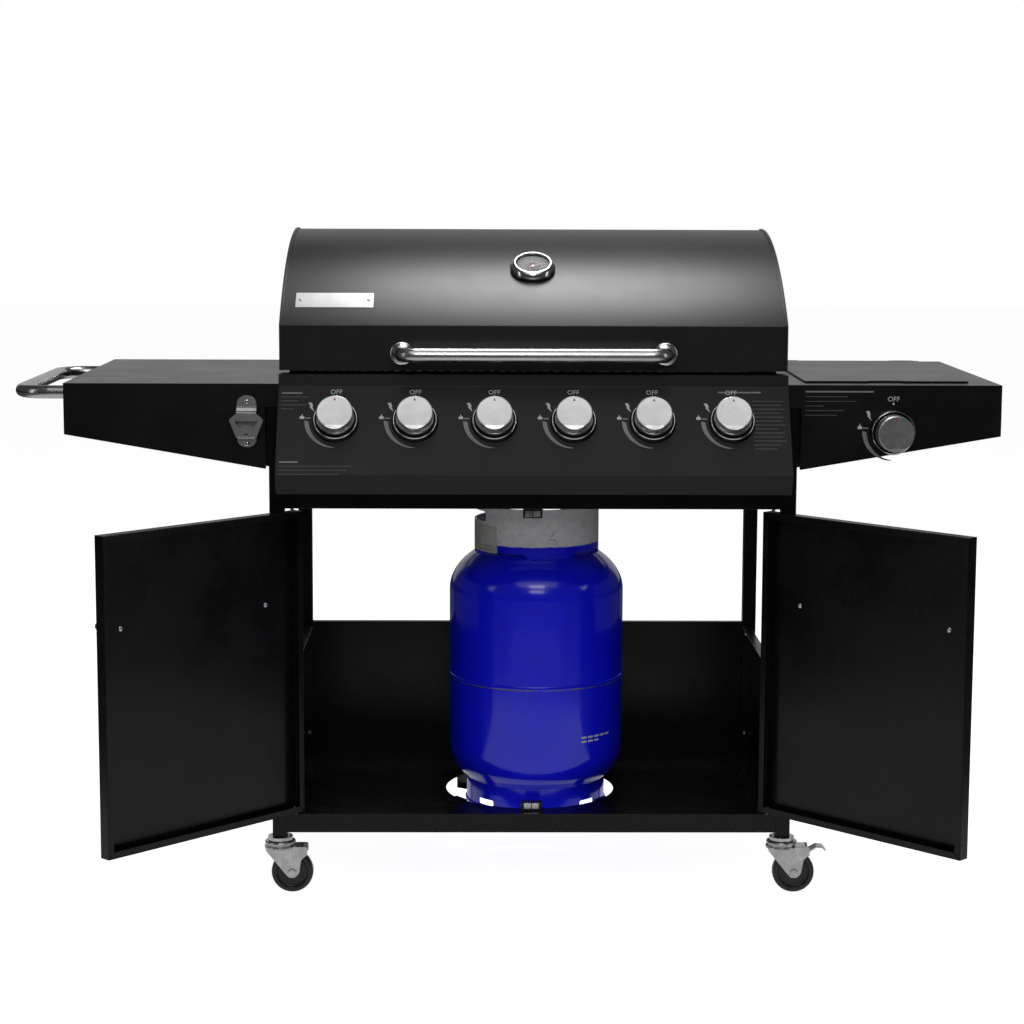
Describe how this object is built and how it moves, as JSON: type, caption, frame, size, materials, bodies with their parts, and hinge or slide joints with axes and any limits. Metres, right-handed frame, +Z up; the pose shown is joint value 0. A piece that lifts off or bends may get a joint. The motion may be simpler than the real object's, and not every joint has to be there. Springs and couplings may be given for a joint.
{
  "type": "gas barbecue grill",
  "caption": "Cart gas grill with a hinged hood, sloping knob panel, side shelves with a side burner, swing doors over a bottle bay, and swivel casters.",
  "frame": {"origin": "on the ground, under the middle of the overall box with the doors standing open", "axes": "+X to the grill's right as seen from the front, along the shelves; +Y from the control panel to the back; +Z up"},
  "size_m": [1.6308, 0.8312, 1.1052],
  "materials": {
    "black_paint": "satin black powder coat on folded sheet steel",
    "hood_paint": "satin charcoal powder coat over glossy black front band",
    "black_enamel": "black heat-proof enamel on sheet steel",
    "stainless": "brushed stainless steel",
    "chrome": "bright plated",
    "chrome_wire": "bright plated steel wire",
    "zinc": "bright zinc plated steel",
    "knob_silver": "satin silver cap on black skirt",
    "cast_iron": "matt enamelled cast iron",
    "brass": "machined brass",
    "ceramic": "white glazed ceramic",
    "black_plastic": "matt moulded plastic",
    "wheel_plastic": "hard black plastic",
    "bottle_paint": "scuffed blue paint, light grey above the shoulder",
    "dial_print": "printed dial, white marks",
    "red_paint": "painted steel",
    "glass": "clear flat glass"
  },
  "bodies": {
    "cart": {"legs": "black_paint", "front_beam": "black_paint", "top_rails": "black_paint", "tray_rails": "zinc", "bottom_shelf": "black_paint", "bottle_rests": "black_paint", "back_panel": "black_paint", "side_panels": "black_paint", "frame_screws": "zinc", "door_catches": "black_plastic", "caster_sockets": "zinc", "hinge_pins": "zinc", "firebox": "black_enamel", "burner_tubes": "stainless", "flame_tamers": "stainless", "cooking_grates": "cast_iron", "warming_rack": "chrome_wire", "gas_manifold": "zinc", "burner_valves": "brass", "igniter_electrodes": "ceramic", "control_panel": "black_enamel", "knob_bezels": "chrome", "left_shelf": "black_paint", "towel_bar": "stainless", "bottle_opener": "chrome", "right_shelf": "black_paint", "side_burner": "black_enamel", "side_grate": "chrome_wire"},
    "hood": {"hood_shell": "hood_paint", "hood_ends": "black_enamel", "hood_handle": "stainless", "thermometer_case": "chrome", "thermometer_dial": "dial_print", "thermometer_lens": "glass", "badge": "stainless"},
    "gauge_needle": {"thermometer_needle": "red_paint"},
    "side_lid": {"side_lid": "black_paint"},
    "left_door": {"door_left": "black_paint", "door_handle_left": "stainless"},
    "right_door": {"door_right": "black_paint", "door_handle_right": "stainless"},
    "tray": {"grease_tray": "zinc"},
    "bottle": {"gas_bottle": "bottle_paint", "bottle_valve": "brass"},
    "knob_1_body": {"knob_1": "knob_silver"},
    "knob_2_body": {"knob_2": "knob_silver"},
    "knob_3_body": {"knob_3": "knob_silver"},
    "knob_4_body": {"knob_4": "knob_silver"},
    "knob_5_body": {"knob_5": "knob_silver"},
    "knob_6_body": {"knob_6": "knob_silver"},
    "side_knob_body": {"side_knob": "knob_silver"},
    "swivel_front_left": {"caster_fork_front_left": "zinc"},
    "wheel_front_left": {"caster_wheel_front_left": "wheel_plastic"},
    "swivel_front_right": {"caster_fork_front_right": "zinc"},
    "wheel_front_right": {"caster_wheel_front_right": "wheel_plastic"},
    "brake_front_right": {"brake_pedal_front_right": "zinc"},
    "swivel_rear_left": {"caster_fork_rear_left": "zinc"},
    "wheel_rear_left": {"caster_wheel_rear_left": "wheel_plastic"},
    "swivel_rear_right": {"caster_fork_rear_right": "zinc"},
    "wheel_rear_right": {"caster_wheel_rear_right": "wheel_plastic"}
  },
  "joints": [
    {"name": "hood_hinge", "type": "hinge", "parent": "cart", "child": "hood", "pos_m": [0.0472, 0.33461, 0.892], "axis": [-1, 0, 0], "range_deg": [0, 88]},
    {"name": "side_lid_hinge", "type": "hinge", "parent": "cart", "child": "side_lid", "pos_m": [0.63219, 0.39361, 0.858], "axis": [-1, 0, 0], "range_deg": [0, 95]},
    {"name": "left_door_hinge", "type": "hinge", "parent": "cart", "child": "left_door", "pos_m": [-0.3498, -0.12139, 0.4], "axis": [0, 0, 1], "range_deg": [0, 134]},
    {"name": "right_door_hinge", "type": "hinge", "parent": "cart", "child": "right_door", "pos_m": [0.4442, -0.12139, 0.4], "axis": [0, 0, -1], "range_deg": [0, 134]},
    {"name": "grease_tray_slide", "type": "slide", "parent": "cart", "child": "tray", "axis": [0, 1, 0], "range_m": [0, 0.38]},
    {"name": "bottle_lift", "type": "slide", "parent": "cart", "child": "bottle", "axis": [0, 0, 1], "range_m": [0, 0.018]},
    {"name": "gauge_needle_turn", "type": "hinge", "parent": "hood", "child": "gauge_needle", "pos_m": [0.0472, -0.00239, 1.0397], "axis": [0, 0.5299, -0.848], "range_deg": [0, 240]},
    {"name": "knob_1_turn", "type": "hinge", "parent": "cart", "child": "knob_1_body", "pos_m": [-0.27405, -0.17042, 0.80024], "axis": [0, -0.8424, 0.5389], "range_deg": [0, 180]},
    {"name": "knob_2_turn", "type": "hinge", "parent": "cart", "child": "knob_2_body", "pos_m": [-0.14555, -0.17042, 0.80024], "axis": [0, -0.8424, 0.5389], "range_deg": [0, 180]},
    {"name": "knob_3_turn", "type": "hinge", "parent": "cart", "child": "knob_3_body", "pos_m": [-0.01706, -0.17042, 0.80024], "axis": [0, -0.8424, 0.5389], "range_deg": [0, 180]},
    {"name": "knob_4_turn", "type": "hinge", "parent": "cart", "child": "knob_4_body", "pos_m": [0.11145, -0.17042, 0.80024], "axis": [0, -0.8424, 0.5389], "range_deg": [0, 180]},
    {"name": "knob_5_turn", "type": "hinge", "parent": "cart", "child": "knob_5_body", "pos_m": [0.23994, -0.17042, 0.80024], "axis": [0, -0.8424, 0.5389], "range_deg": [0, 180]},
    {"name": "knob_6_turn", "type": "hinge", "parent": "cart", "child": "knob_6_body", "pos_m": [0.36845, -0.17042, 0.80024], "axis": [0, -0.8424, 0.5389], "range_deg": [0, 180]},
    {"name": "side_knob_turn", "type": "hinge", "parent": "cart", "child": "side_knob_body", "pos_m": [0.63719, -0.12739, 0.781], "axis": [0, -1, 0], "range_deg": [0, 180]},
    {"name": "swivel_front_left", "type": "hinge", "parent": "cart", "child": "swivel_front_left", "pos_m": [-0.3748, -0.11339, 0.08], "axis": [0, 0, 1], "continuous": true},
    {"name": "roll_front_left", "type": "hinge", "parent": "swivel_front_left", "child": "wheel_front_left", "pos_m": [-0.3548, -0.11339, 0.035], "axis": [0, 1, 0], "continuous": true},
    {"name": "swivel_front_right", "type": "hinge", "parent": "cart", "child": "swivel_front_right", "pos_m": [0.46919, -0.11339, 0.08], "axis": [0, 0, 1], "continuous": true},
    {"name": "roll_front_right", "type": "hinge", "parent": "swivel_front_right", "child": "wheel_front_right", "pos_m": [0.48919, -0.11339, 0.035], "axis": [0, 1, 0], "continuous": true},
    {"name": "brake_front_right", "type": "hinge", "parent": "swivel_front_right", "child": "brake_front_right", "pos_m": [0.51019, -0.11339, 0.071], "axis": [0, 1, 0], "range_deg": [0, 10]},
    {"name": "swivel_rear_left", "type": "hinge", "parent": "cart", "child": "swivel_rear_left", "pos_m": [-0.3608, 0.30961, 0.08], "axis": [0, 0, 1], "continuous": true},
    {"name": "roll_rear_left", "type": "hinge", "parent": "swivel_rear_left", "child": "wheel_rear_left", "pos_m": [-0.34081, 0.30961, 0.035], "axis": [0, 1, 0], "continuous": true},
    {"name": "swivel_rear_right", "type": "hinge", "parent": "cart", "child": "swivel_rear_right", "pos_m": [0.4552, 0.30961, 0.08], "axis": [0, 0, 1], "continuous": true},
    {"name": "roll_rear_right", "type": "hinge", "parent": "swivel_rear_right", "child": "wheel_rear_right", "pos_m": [0.47519, 0.30961, 0.035], "axis": [0, 1, 0], "continuous": true}
  ]
}
